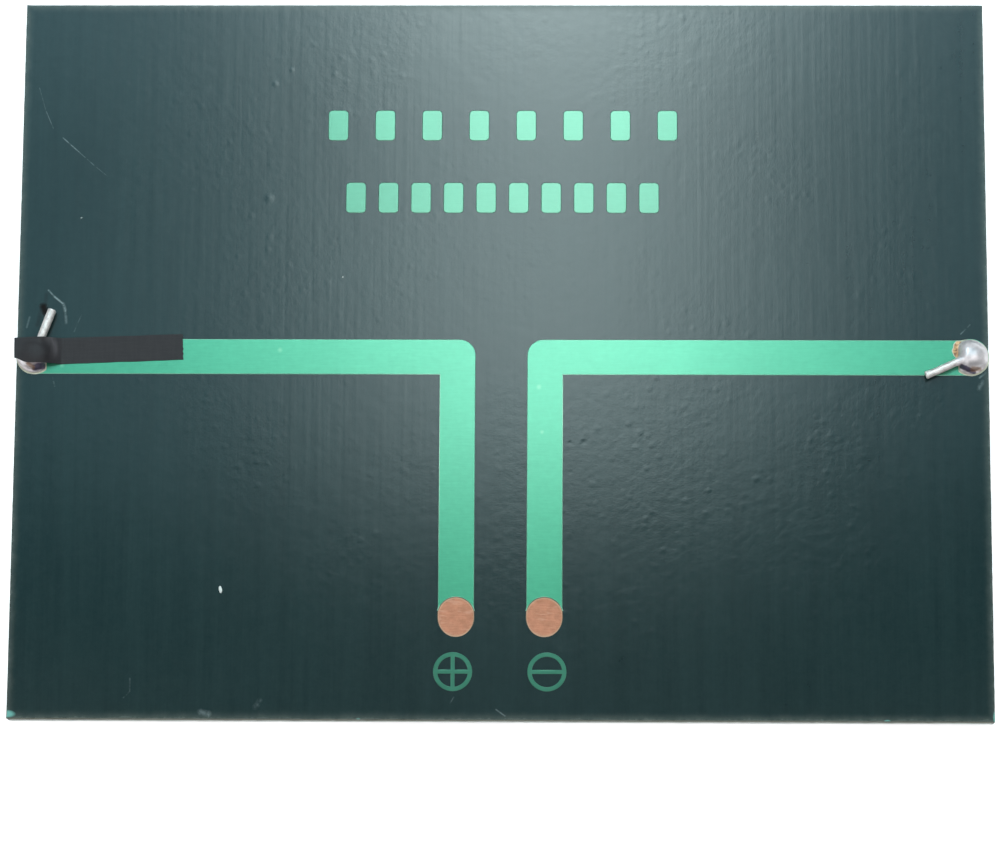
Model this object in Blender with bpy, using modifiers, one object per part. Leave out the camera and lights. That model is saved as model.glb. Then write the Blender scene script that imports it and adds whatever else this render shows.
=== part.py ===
"""A small potted solar panel, lying on its light-facing side with the soldered board upwards.

A row of cell strips joined in series hangs under a glass-fibre board, sealed in clear epoxy.
Both ends of the row come up through the board as wires, each soldered to a copper trace that
leads to a bare pad. The origin is the centre of the light-facing side. X is the long side.
"""

import math

import bmesh
import bpy

# Overall size of the cut panel, in metres.
PANEL_WIDTH = 0.112
PANEL_DEPTH = 0.084

# Clearances: between bonded layers, and round a piece that sits in a hole or pocket.
LAYER_GAP = 0.00002
SIDE_GAP = 0.00005

# Layers, from the light-facing side up.
COVER_THICKNESS = 0.0007
RIBBON_THICKNESS = 0.00012
CELL_THICKNESS = 0.0002
ADHESIVE_THICKNESS = 0.00008
BOARD_THICKNESS = 0.0016
COPPER_THICKNESS = 0.000035
MASK_THICKNESS = 0.00004

# The two L-shaped traces and their bare pads.
TRACE_WIDTH = 0.0041
TRACE_CORNER_RADIUS = 0.00185
PAD_PITCH = 0.01006
PAD_FROM_NEAR_EDGE = 0.01175
PAD_WINDOW_RADIUS = 0.0022
PAD_LAND_RADIUS = 0.0019

# Polarity marks beyond the pads.
MARK_PITCH = 0.0107
MARK_FROM_NEAR_EDGE = 0.0055
MARK_RADIUS = 0.00223
MARK_RING_WIDTH = 0.0006
MARK_BAR_WIDTH = 0.00054

# Two rows of plain copper bars: how many, how far the row spans, and its distance from the far edge.
LEGEND_ROWS = ((8, 0.0407, 0.0146), (10, 0.0364, 0.02325))
LEGEND_BAR_WIDTH = 0.0024
LEGEND_BAR_HEIGHT = 0.0037
LEGEND_CORNER_RADIUS = 0.0005

# Terminals: a wire that comes up through the board into a dome of solder, and its bent end.
TERMINAL_Y = -0.0001
TERMINAL_LAND = 0.0001
WIRE_RADIUS = 0.0004
WIRE_BEND_RADIUS = 0.0006
WIRE_END_HEIGHT = 0.00088
WIRE_REACH = 0.00564
POSITIVE_HEADING = 70.0
NEGATIVE_HEADING = 203.0
WIRE_HOLE_CLEARANCE = 0.00015
SOLDER_RADIUS = 0.002
SOLDER_HEIGHT = 0.00175

# The row of cell strips and the ribbons that join them.
CELL_COUNT = 12
CELL_GAP = 0.0008
CELL_MARGIN_Y = 0.003
LEAD_ROOM = 0.00085
LEAD_PAST_WIRE = 0.0006
RIBBON_WIDTH = 0.0015
RIBBON_END_INSET = 0.0008
RIBBON_STEP_MARGIN = 0.0001
POCKET_WALL = 0.0012

# The strip of tape over the positive terminal.
TAPE_WIDTH = 0.003
TAPE_THICKNESS = 0.00013
TAPE_PAST_TERMINAL = 0.0023
TAPE_LENGTH = 0.01935
TAPE_OFFSET_Y = 0.00046
TAPE_TILT = 2.2
TAPE_TOUCHDOWN = 0.003
TAPE_CLEARANCE = 0.00005
TAPE_DRAPE_POWER = 2.5

# How finely round shapes are cut.
CIRCLE_STEPS = 40
CORNER_STEPS = 6
DOME_STEPS = 9
BEND_STEPS = 6
DRAPE_STEPS = 14
CUTTER_OVERRUN = 0.0005

# Heights that follow from the layers.
FRONT_RIBBON_Z = COVER_THICKNESS + LAYER_GAP
CELL_Z = FRONT_RIBBON_Z + RIBBON_THICKNESS + LAYER_GAP
BACK_RIBBON_Z = CELL_Z + CELL_THICKNESS + LAYER_GAP
ADHESIVE_Z = BACK_RIBBON_Z + RIBBON_THICKNESS + LAYER_GAP
BOARD_Z = ADHESIVE_Z + ADHESIVE_THICKNESS + LAYER_GAP
COPPER_Z = BOARD_Z + BOARD_THICKNESS + LAYER_GAP
COPPER_TOP = COPPER_Z + COPPER_THICKNESS
MASK_TOP = COPPER_TOP + LAYER_GAP + MASK_THICKNESS

# Places that follow from the outline and the pieces.
HALF_WIDTH = PANEL_WIDTH / 2
HALF_DEPTH = PANEL_DEPTH / 2
TERMINAL_INSET = max(SOLDER_RADIUS + SIDE_GAP, TRACE_WIDTH / 2 + SIDE_GAP) + TERMINAL_LAND
TERMINAL_X = HALF_WIDTH - TERMINAL_INSET
PAD_X = PAD_PITCH / 2
PAD_Y = PAD_FROM_NEAR_EDGE - HALF_DEPTH
MARK_Y = MARK_FROM_NEAR_EDGE - HALF_DEPTH
CELL_MARGIN_X = TERMINAL_INSET + WIRE_RADIUS + LEAD_ROOM
CELL_WIDTH = (PANEL_WIDTH - 2 * CELL_MARGIN_X - (CELL_COUNT - 1) * CELL_GAP) / CELL_COUNT
CELL_LENGTH = PANEL_DEPTH - 2 * CELL_MARGIN_Y
CELL_PITCH = CELL_WIDTH + CELL_GAP
ROW_END_X = HALF_WIDTH - CELL_MARGIN_X


def clear_scene():
    for obj in list(bpy.data.objects):
        bpy.data.objects.remove(obj, do_unlink=True)


def new_collection(name, parent):
    collection = bpy.data.collections.new(name)
    parent.children.link(collection)
    return collection


def new_material(name, colour, roughness, metallic=0.0, alpha=1.0):
    material = bpy.data.materials.new(name)
    material.use_nodes = True
    shader = material.node_tree.nodes["Principled BSDF"]
    shader.inputs["Base Color"].default_value = (*colour, 1.0)
    shader.inputs["Roughness"].default_value = roughness
    shader.inputs["Metallic"].default_value = metallic
    shader.inputs["Alpha"].default_value = alpha
    return material


def add_object(name, data, collection, location=(0.0, 0.0, 0.0), material=None):
    obj = bpy.data.objects.new(name, data)
    obj.location = location
    collection.objects.link(obj)
    if material is not None:
        obj.data.materials.append(material)
    return obj


def as_cutter(obj):
    obj.hide_render = True
    obj.display_type = "WIRE"
    return obj


def arc(centre, radius, start, end, steps):
    """Points along an arc from one angle to another, in degrees."""
    points = []
    for step in range(steps + 1):
        angle = math.radians(start + (end - start) * step / steps)
        points.append((centre[0] + radius * math.cos(angle), centre[1] + radius * math.sin(angle)))
    return points


def circle(centre, radius):
    return arc(centre, radius, 0.0, 360.0, CIRCLE_STEPS)[:-1]


def rounded_rectangle(centre, width, height, radius):
    """A rectangle outline with round corners, or square ones where the radius is zero."""
    x = width / 2 - radius
    y = height / 2 - radius
    points = []
    for quarter, (side_x, side_y) in enumerate(((1, 1), (-1, 1), (-1, -1), (1, -1))):
        corner = (centre[0] + side_x * x, centre[1] + side_y * y)
        if radius > 0.0:
            points += arc(corner, radius, 90.0 * quarter, 90.0 * quarter + 90.0, CORNER_STEPS)
        else:
            points.append(corner)
    return points


def flat_curve(name, outlines, thickness):
    """A filled flat curve: its first outline is the edge, and the others are holes."""
    curve = bpy.data.curves.new(name, "CURVE")
    curve.dimensions = "2D"
    curve.fill_mode = "BOTH"
    curve.extrude = thickness / 2
    for outline in outlines:
        spline = curve.splines.new("POLY")
        spline.points.add(len(outline) - 1)
        for point, (x, y) in zip(spline.points, outline):
            point.co = (x, y, 0.0, 1.0)
        spline.use_cyclic_u = True
    return curve


def flat_piece(name, outlines, bottom, thickness, collection, material=None):
    """A flat piece lying level, with its underside at the given height."""
    curve = flat_curve(name, outlines, thickness)
    return add_object(name, curve, collection, (0.0, 0.0, bottom + thickness / 2), material)


def curve_to_mesh(obj):
    """Swaps a curve object for a closed mesh object of the same name and place."""
    bpy.context.view_layer.update()
    graph = bpy.context.evaluated_depsgraph_get()
    mesh = bpy.data.meshes.new_from_object(obj.evaluated_get(graph))
    shape = bmesh.new()
    shape.from_mesh(mesh)
    bmesh.ops.remove_doubles(shape, verts=shape.verts, dist=1e-7)
    bmesh.ops.recalc_face_normals(shape, faces=shape.faces)
    shape.to_mesh(mesh)
    shape.free()
    name = obj.name
    curve = obj.data
    solid = bpy.data.objects.new(name + "_solid", mesh)
    solid.matrix_world = obj.matrix_world.copy()
    for collection in obj.users_collection:
        collection.objects.link(solid)
    bpy.data.objects.remove(obj, do_unlink=True)
    bpy.data.curves.remove(curve)
    solid.name = name
    return solid


def box_mesh(name, width, depth, height):
    mesh = bpy.data.meshes.new(name)
    shape = bmesh.new()
    bmesh.ops.create_cube(shape, size=1.0)
    bmesh.ops.scale(shape, vec=(width, depth, height), verts=shape.verts)
    shape.to_mesh(mesh)
    shape.free()
    return mesh


def cut(obj, name, cutter, operation="DIFFERENCE"):
    modifier = obj.modifiers.new(name, "BOOLEAN")
    modifier.operation = operation
    modifier.object = cutter
    return modifier


# Outlines of the copper. Each takes how far it grows, so that the mask's pocket follows it.


def trace_outline(side, grow=0.0):
    """The L from a terminal to its pad, with a round outer corner and a square inner one."""
    half = TRACE_WIDTH / 2 + grow
    bend = TRACE_CORNER_RADIUS + grow
    corner = (PAD_X - half + bend, TERMINAL_Y + half - bend)
    points = arc((TERMINAL_X, TERMINAL_Y), half, -90.0, 90.0, CIRCLE_STEPS // 2)
    points += arc(corner, bend, 90.0, 180.0, CORNER_STEPS)
    points += arc((PAD_X, PAD_Y), half, 180.0, 360.0, CIRCLE_STEPS // 2)
    points.append((PAD_X + half, TERMINAL_Y - half))
    return [(side * x, y) for x, y in points]


def mark_windows(centre, quarters):
    """The openings inside a polarity ring: four round a cross, or two each side of one bar."""
    radius = MARK_RADIUS - MARK_RING_WIDTH
    edge = MARK_BAR_WIDTH / 2
    clear = math.degrees(math.asin(edge / radius))
    windows = []
    if quarters:
        for turn in (0.0, 90.0, 180.0, 270.0):
            points = arc(centre, radius, turn + clear, turn + 90.0 - clear, CIRCLE_STEPS // 4)
            corner = math.radians(turn + 45.0)
            reach = edge * math.sqrt(2.0)
            points.append((centre[0] + reach * math.cos(corner), centre[1] + reach * math.sin(corner)))
            windows.append(points)
    else:
        for turn in (0.0, 180.0):
            windows.append(arc(centre, radius, turn + clear, turn + 180.0 - clear, CIRCLE_STEPS // 2))
    return windows


def legend_bars():
    """Name and centre of each plain bar in the two rows."""
    bars = []
    for row, (count, span, from_far_edge) in enumerate(LEGEND_ROWS, start=1):
        pitch = (span - LEGEND_BAR_WIDTH) / (count - 1)
        for index in range(count):
            x = (index - (count - 1) / 2) * pitch
            bars.append((f"marking_bar_{row}_{index + 1:02d}", (x, HALF_DEPTH - from_far_edge)))
    return bars


def make_encapsulant(parts, cutters, material):
    """Clear epoxy: one block whose top is hollowed for the cells and closed by the board."""
    height = BOARD_Z - LAYER_GAP
    mesh = box_mesh("clear_encapsulant", PANEL_WIDTH, PANEL_DEPTH, height)
    block = add_object("clear_encapsulant", mesh, parts, (0.0, 0.0, height / 2), material)
    deep = height - COVER_THICKNESS + CUTTER_OVERRUN
    pocket = box_mesh("cell_pocket", PANEL_WIDTH - 2 * POCKET_WALL, PANEL_DEPTH - 2 * POCKET_WALL, deep)
    cutter = as_cutter(add_object("cell_pocket", pocket, cutters, (0.0, 0.0, COVER_THICKNESS + deep / 2)))
    cut(block, "Cell pocket", cutter)


def make_cells(parts, material):
    mesh = box_mesh("cell_strip", CELL_WIDTH, CELL_LENGTH, CELL_THICKNESS)
    mesh.materials.append(material)
    for index in range(CELL_COUNT):
        x = (index - (CELL_COUNT - 1) / 2) * CELL_PITCH
        add_object(f"cell_{index + 1:02d}", mesh, parts, (x, 0.0, CELL_Z + CELL_THICKNESS / 2))


def stepped_ribbon(start, step_start, step_end, end):
    """Side view of a ribbon that runs below a cell, steps up, and runs on above the next one."""
    low = FRONT_RIBBON_Z
    high = BACK_RIBBON_Z
    return [
        (start, low),
        (step_start, low),
        (step_end, high),
        (end, high),
        (end, high + RIBBON_THICKNESS),
        (step_end, high + RIBBON_THICKNESS),
        (step_start, low + RIBBON_THICKNESS),
        (start, low + RIBBON_THICKNESS),
    ]


def stand_up(obj, tilt=0.0):
    """Turns a flat curve so that its outline stands upright along X."""
    obj.rotation_euler = (math.pi / 2, 0.0, math.radians(tilt))


def make_ribbons(parts, material):
    """One ribbon for each gap in the row, from the front of a strip to the back of the next."""
    run = CELL_WIDTH - RIBBON_END_INSET
    step = CELL_GAP / 2 - RIBBON_STEP_MARGIN
    outline = stepped_ribbon(-CELL_GAP / 2 - run, -step, step, CELL_GAP / 2 + run)
    curve = flat_curve("cell_ribbon", [outline], RIBBON_WIDTH)
    curve.materials.append(material)
    for index in range(CELL_COUNT - 1):
        x = (index + 1 - CELL_COUNT / 2) * CELL_PITCH
        ribbon = add_object(f"cell_ribbon_{index + 1:02d}", curve, parts, (x, TERMINAL_Y, 0.0))
        stand_up(ribbon)


def make_leads(parts, material):
    """The row's two ends, each reaching under its terminal wire."""
    lead_end = TERMINAL_X + LEAD_PAST_WIRE
    inner_end = -ROW_END_X + CELL_WIDTH - RIBBON_END_INSET
    length = inner_end + lead_end
    mesh = box_mesh("string_lead_positive", length, RIBBON_WIDTH, RIBBON_THICKNESS)
    middle = (inner_end - length / 2, TERMINAL_Y, BACK_RIBBON_Z + RIBBON_THICKNESS / 2)
    add_object("string_lead_positive", mesh, parts, middle, material)
    step_start = ROW_END_X + RIBBON_STEP_MARGIN
    step_end = TERMINAL_X - WIRE_RADIUS - RIBBON_STEP_MARGIN
    outline = stepped_ribbon(-inner_end, step_start, step_end, lead_end)
    curve = flat_curve("string_lead_negative", [outline], RIBBON_WIDTH)
    stand_up(add_object("string_lead_negative", curve, parts, (0.0, TERMINAL_Y, 0.0), material))


def make_adhesive(parts, material):
    """The thin sheet that bonds the row of cells to the board."""
    mesh = box_mesh("cell_adhesive", 2 * ROW_END_X, CELL_LENGTH, ADHESIVE_THICKNESS)
    add_object("cell_adhesive", mesh, parts, (0.0, 0.0, ADHESIVE_Z + ADHESIVE_THICKNESS / 2), material)


def wire_hole(side):
    return circle((side * TERMINAL_X, TERMINAL_Y), WIRE_RADIUS + WIRE_HOLE_CLEARANCE)


def panel_outline():
    return rounded_rectangle((0.0, 0.0), PANEL_WIDTH, PANEL_DEPTH, 0.0)


def make_board(parts, material):
    outlines = [panel_outline(), wire_hole(-1), wire_hole(1)]
    flat_piece("circuit_board", outlines, BOARD_Z, BOARD_THICKNESS, parts, material)


def make_traces(parts, cutters, material):
    """The L-shaped traces, each with its pad plated up level with the mask."""
    for name, side in (("positive", -1), ("negative", 1)):
        outlines = [trace_outline(side), wire_hole(side)]
        trace = flat_piece(f"copper_trace_{name}", outlines, COPPER_Z, COPPER_THICKNESS, parts)
        trace = curve_to_mesh(trace)
        trace.data.materials.append(material)
        root = COPPER_Z + COPPER_THICKNESS / 2
        pad = [circle((side * PAD_X, PAD_Y), PAD_LAND_RADIUS)]
        land = flat_piece(f"pad_land_{name}", pad, root, MASK_TOP - root, cutters)
        cut(trace, "Pad land", as_cutter(curve_to_mesh(land)), "UNION")


def make_marks(parts, material):
    """The ringed plus and minus signs beside the pads."""
    for name, side in (("plus", -1), ("minus", 1)):
        centre = (side * MARK_PITCH / 2, MARK_Y)
        outlines = [circle(centre, MARK_RADIUS)] + mark_windows(centre, name == "plus")
        flat_piece(f"polarity_mark_{name}", outlines, COPPER_Z, COPPER_THICKNESS, parts, material)


def make_legend(parts, material):
    for name, centre in legend_bars():
        outline = rounded_rectangle(centre, LEGEND_BAR_WIDTH, LEGEND_BAR_HEIGHT, LEGEND_CORNER_RADIUS)
        flat_piece(name, [outline], COPPER_Z, COPPER_THICKNESS, parts, material)


def make_mask(parts, cutters, material):
    """The lacquer film over board and copper, open at the pads and the soldered terminals."""
    windows = []
    for side in (-1, 1):
        windows.append(circle((side * PAD_X, PAD_Y), PAD_WINDOW_RADIUS))
        windows.append(circle((side * TERMINAL_X, TERMINAL_Y), SOLDER_RADIUS + SIDE_GAP))
    film = flat_piece("solder_mask", [panel_outline()] + windows, COPPER_Z, MASK_TOP - COPPER_Z, parts)
    film = curve_to_mesh(film)
    film.data.materials.append(material)

    pockets = new_collection("mask_pockets", cutters)
    outlines = {
        "trace_positive_pocket": trace_outline(-1, SIDE_GAP),
        "trace_negative_pocket": trace_outline(1, SIDE_GAP),
        "mark_plus_pocket": circle((-MARK_PITCH / 2, MARK_Y), MARK_RADIUS + SIDE_GAP),
        "mark_minus_pocket": circle((MARK_PITCH / 2, MARK_Y), MARK_RADIUS + SIDE_GAP),
    }
    for name, centre in legend_bars():
        grown = (LEGEND_BAR_WIDTH + 2 * SIDE_GAP, LEGEND_BAR_HEIGHT + 2 * SIDE_GAP)
        outlines[name + "_pocket"] = rounded_rectangle(centre, *grown, LEGEND_CORNER_RADIUS + SIDE_GAP)
    bottom = COPPER_Z - CUTTER_OVERRUN
    for name, outline in outlines.items():
        pocket = flat_piece(name, [outline], bottom, COPPER_TOP + LAYER_GAP - bottom, pockets)
        as_cutter(curve_to_mesh(pocket))
    modifier = film.modifiers.new("Copper pockets", "BOOLEAN")
    modifier.operand_type = "COLLECTION"
    modifier.collection = pockets


def wire_curve(name, radius, bottom, heading):
    """A wire that stands on the string's end, bends over inside the solder and runs out level."""
    along = (math.cos(math.radians(heading)), math.sin(math.radians(heading)))
    top = MASK_TOP + WIRE_END_HEIGHT
    points = [(0.0, 0.0, bottom)]
    for step in range(BEND_STEPS + 1):
        angle = math.pi / 2 * step / BEND_STEPS
        out = WIRE_BEND_RADIUS * (1.0 - math.cos(angle))
        up = top - WIRE_BEND_RADIUS * (1.0 - math.sin(angle))
        points.append((along[0] * out, along[1] * out, up))
    points.append((along[0] * WIRE_REACH, along[1] * WIRE_REACH, top))
    curve = bpy.data.curves.new(name, "CURVE")
    curve.dimensions = "3D"
    curve.bevel_depth = radius
    curve.bevel_resolution = 4
    curve.use_fill_caps = True
    spline = curve.splines.new("POLY")
    spline.points.add(len(points) - 1)
    for point, place in zip(spline.points, points):
        point.co = (*place, 1.0)
    return curve


def make_solder(name, place, passage, parts, material):
    """A dome of solder turned about its wire hole, with a passage where the wire runs."""
    mesh = bpy.data.meshes.new(name)
    profile = arc((0.0, 0.0), 1.0, 90.0, 0.0, DOME_STEPS)
    points = [(SOLDER_RADIUS * x, 0.0, SOLDER_HEIGHT * y) for x, y in profile]
    points[0] = (0.0, 0.0, SOLDER_HEIGHT)
    points.append((0.0, 0.0, 0.0))
    edges = [(index, index + 1) for index in range(len(points) - 1)]
    mesh.from_pydata(points, edges, [])
    dome = add_object(name, mesh, parts, place, material)
    screw = dome.modifiers.new("Turned dome", "SCREW")
    screw.steps = CIRCLE_STEPS
    screw.render_steps = CIRCLE_STEPS
    screw.use_merge_vertices = True
    screw.merge_threshold = 0.00001
    screw.use_smooth_shade = True
    cut(dome, "Wire passage", passage)


def make_terminals(parts, cutters, wire_material, solder_material):
    foot = BACK_RIBBON_Z + RIBBON_THICKNESS + LAYER_GAP
    dome_z = COPPER_TOP + LAYER_GAP
    for name, side, heading in (("positive", -1, POSITIVE_HEADING), ("negative", 1, NEGATIVE_HEADING)):
        place = (side * TERMINAL_X, TERMINAL_Y, 0.0)
        curve = wire_curve(f"terminal_wire_{name}", WIRE_RADIUS, foot, heading)
        add_object(f"terminal_wire_{name}", curve, parts, place, wire_material)
        sleeve = wire_curve(f"wire_passage_{name}", WIRE_RADIUS + SIDE_GAP, foot, heading)
        passage = as_cutter(curve_to_mesh(add_object(f"wire_passage_{name}", sleeve, cutters, place)))
        dome_place = (place[0], place[1], dome_z)
        make_solder(f"solder_joint_{name}", dome_place, passage, parts, solder_material)


def tape_height(along):
    """Height of the tape's underside over the mask, where the strip climbs over the solder."""
    rise = COPPER_TOP + LAYER_GAP + SOLDER_HEIGHT + TAPE_CLEARANCE - MASK_TOP
    share = min(abs(along) / TAPE_TOUCHDOWN, 1.0)
    return LAYER_GAP + rise * (1.0 - share**TAPE_DRAPE_POWER)


def make_tape(parts, material):
    """A strip of tape over the positive terminal, drawn in side view and given its width."""
    stations = []
    for step in range(DRAPE_STEPS + 1):
        stations.append(-TAPE_PAST_TERMINAL + (TAPE_PAST_TERMINAL + TAPE_TOUCHDOWN) * step / DRAPE_STEPS)
    stations.append(TAPE_LENGTH - TAPE_PAST_TERMINAL)
    under = [(x, tape_height(x)) for x in stations]
    over = [(x, z + TAPE_THICKNESS) for x, z in reversed(under)]
    curve = flat_curve("insulating_tape", [under + over], TAPE_WIDTH)
    place = (-TERMINAL_X, TERMINAL_Y + TAPE_OFFSET_Y, MASK_TOP)
    stand_up(add_object("insulating_tape", curve, parts, place, material), TAPE_TILT)


def main():
    clear_scene()
    parts = new_collection("solar_panel", bpy.context.scene.collection)
    cutters = new_collection("cutters", bpy.context.scene.collection)
    epoxy = new_material("clear_epoxy", (0.78, 0.84, 0.86), 0.12, alpha=0.35)
    silicon = new_material("blue_silicon", (0.02, 0.04, 0.15), 0.3)
    tinned = new_material("tinned_ribbon", (0.72, 0.72, 0.74), 0.32, metallic=1.0)
    sheet = new_material("white_adhesive", (0.75, 0.76, 0.74), 0.6)
    laminate = new_material("glass_fibre_board", (0.36, 0.4, 0.3), 0.65)
    copper = new_material("bare_copper", (0.72, 0.32, 0.2), 0.4, metallic=1.0)
    lacquer = new_material("green_solder_mask", (0.03, 0.085, 0.08), 0.3)
    solder = new_material("bright_solder", (0.7, 0.71, 0.74), 0.22, metallic=1.0)
    tape = new_material("black_tape", (0.035, 0.035, 0.038), 0.55)
    make_encapsulant(parts, cutters, epoxy)
    make_cells(parts, silicon)
    make_ribbons(parts, tinned)
    make_leads(parts, tinned)
    make_adhesive(parts, sheet)
    make_board(parts, laminate)
    make_traces(parts, cutters, copper)
    make_marks(parts, copper)
    make_legend(parts, copper)
    make_mask(parts, cutters, lacquer)
    make_terminals(parts, cutters, tinned, solder)
    make_tape(parts, tape)


main()
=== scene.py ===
import math
import random

import bmesh
import bpy
import numpy as np
from mathutils import Matrix, Vector, noise


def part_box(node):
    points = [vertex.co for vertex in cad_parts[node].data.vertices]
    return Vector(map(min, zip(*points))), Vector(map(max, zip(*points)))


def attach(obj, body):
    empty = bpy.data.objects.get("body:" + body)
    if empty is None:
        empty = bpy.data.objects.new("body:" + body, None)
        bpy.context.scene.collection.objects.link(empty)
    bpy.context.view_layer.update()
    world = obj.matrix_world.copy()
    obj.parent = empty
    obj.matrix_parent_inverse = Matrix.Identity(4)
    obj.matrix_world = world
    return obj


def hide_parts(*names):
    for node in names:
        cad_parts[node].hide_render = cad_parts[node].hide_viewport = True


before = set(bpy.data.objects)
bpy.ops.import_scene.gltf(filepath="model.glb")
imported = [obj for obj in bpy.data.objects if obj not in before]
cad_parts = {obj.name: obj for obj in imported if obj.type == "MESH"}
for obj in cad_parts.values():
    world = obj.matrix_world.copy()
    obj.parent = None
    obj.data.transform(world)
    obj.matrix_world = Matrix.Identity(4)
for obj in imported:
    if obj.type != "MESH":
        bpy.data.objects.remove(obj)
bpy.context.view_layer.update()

# Shapes are drawn in millimetres and scaled to metres as each piece is finished.
MM = 0.001

# Camera: above the near edge, looking down and a little to the left.
CAMERA_PLACE = Vector((0.0078, -0.0854, 0.4247))
CAMERA_ELEVATION = 79.62
CAMERA_TURN = -5.89
CAMERA_ROLL = -5.66
CAMERA_LENS = 134.5

# Light: a graded softbox over the far half of the panel, and fills all round: x, y and radiance.
SOFTBOX_HEIGHT = 0.4247
SOFTBOX_CENTRE = 4.5
SOFTBOX_SPREAD = 48.0
SOFTBOX_FADE = (34.0, 84.0)
SOFTBOX_SLANT = 0.05
SOFTBOX_HOT = (5.1, 6.0, 5.9)
SOFTBOX_WINGS = (0.47, 0.83, 0.99)
FILLS = ((-0.55, 0.0, 4.2), (0.55, 0.0, 3.9), (0.0, 0.62, 4.8), (0.0, -0.62, 1.8))
FILL_HEIGHT = 0.9
FILL_SIZE = 0.5
SKY = 0.26
FLOOR_GLOW = 0.50
FLOOR_GAP = 0.0002

# Lacquer film.
FILM_STEP = 0.45
FILM_RAGGED = 0.07
FILM_EDGE_ROUND = 0.02
OVER_COPPER_RISE = 0.04
OVER_COPPER_DEPTH = 0.18
OVER_COPPER_ROUND = 0.10
FILM_CREEP = 0.04
PAD_WINDOW_X = 2.14
PAD_WINDOW_Y = 2.27

# Sawn edges of board and epoxy.
EDGE_STEP = 0.5
BOARD_RAGGED = 0.06
EPOXY_RAGGED = 0.05

# Copper, solder and wire.
TRACE_CORNER = 1.85
COPPER_BELOW_FILM = 0.06
COPPER_ROUND = 0.01
WIRE_RADIUS = 0.4
HEADINGS = {"positive": 70.0, "negative": 203.0}
MARK_RING = 0.51
MARK_BAR = 0.47
MARK_ROUND = 0.05
BAR_CORNER = 0.5
SOLDER_VOXEL = 0.08
LAND_RADIUS = 2.04
LAND_CUT = 1.32
LAND_GAP = 0.03

# Tape.
TAPE_WIDTH = 3.0
TAPE_THICKNESS = 0.13
TAPE_TILT = 2.2
TAPE_CELL = 0.16
TAPE_STUCK_BEYOND = 3.0
TAPE_STEPS = 900
TAPE_SAG = 0.0015
TAPE_STIFF_ALONG = 0.72

ARC_STEPS = 10


# ---------------------------------------------------------------- places from the frame


def box_mm(node):
    low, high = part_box(node)
    return low / MM, high / MM


BOARD_LOW, BOARD_HIGH = box_mm("circuit_board")
FILM_LOW, FILM_HIGH = box_mm("solder_mask")
EPOXY_LOW, EPOXY_HIGH = box_mm("clear_encapsulant")
FILM_TOP = FILM_HIGH.z
SIDES = {"positive": -1, "negative": 1}


def terminal(name):
    """Centre of a solder joint, at the height of its foot."""
    low, high = box_mm(f"solder_joint_{name}")
    middle = (low + high) / 2
    return Vector((middle.x, middle.y, low.z))


def trace_half_width(name):
    return box_mm(f"copper_trace_{name}")[1].y - terminal(name).y


def pad_centre(name):
    """Centre of the bare pad, which is the round end of the trace nearest the near edge."""
    low, high = box_mm(f"copper_trace_{name}")
    half = trace_half_width(name)
    x = low.x + half if SIDES[name] > 0 else high.x - half
    return Vector((x, low.y + half, 0.0))


# ---------------------------------------------------------------- shader expressions


class Socket:
    """A shader socket that takes part in Python expressions on values."""

    def __init__(self, graph, socket):
        self.graph = graph
        self.socket = socket

    def maths(self, operation, *terms):
        return self.graph.node("ShaderNodeMath", {"operation": operation}, dict(enumerate((self, *terms))))

    def __add__(self, other):
        return self.maths("ADD", other)

    def __radd__(self, other):
        return self.maths("ADD", other)

    def __sub__(self, other):
        return self.maths("SUBTRACT", other)

    def __rsub__(self, other):
        return self.graph.node("ShaderNodeMath", {"operation": "SUBTRACT"}, {0: other, 1: self})

    def __mul__(self, other):
        return self.maths("MULTIPLY", other)

    def __rmul__(self, other):
        return self.maths("MULTIPLY", other)

    def __truediv__(self, other):
        return self.maths("DIVIDE", other)

    def __rtruediv__(self, other):
        return self.graph.node("ShaderNodeMath", {"operation": "DIVIDE"}, {0: other, 1: self})

    def __pow__(self, other):
        return self.maths("POWER", other)

    def __abs__(self):
        return self.maths("ABSOLUTE")

    def root(self):
        return self.maths("SQRT")

    def least(self, other):
        return self.maths("MINIMUM", other)

    def most(self, other):
        return self.maths("MAXIMUM", other)

    def eased(self):
        """The same from 0 to 1, with a level start and a level end."""
        return self * self * (3.0 - 2.0 * self)

    def between(self, low, high):
        """0 below low, 1 above high, and a straight slope from one to the other."""
        return self.graph.node(
            "ShaderNodeMapRange", {"clamp": True}, {0: self, "From Min": low, "From Max": high}
        )


def add_node(tree, kind, settings, inputs, fill):
    """Any node, with its settings and its inputs."""
    made = tree.nodes.new(kind)
    for name, value in (settings or {}).items():
        setattr(made, name, value)
    for name, value in (inputs or {}).items():
        fill(made.inputs[name], value)
    return made


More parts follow.
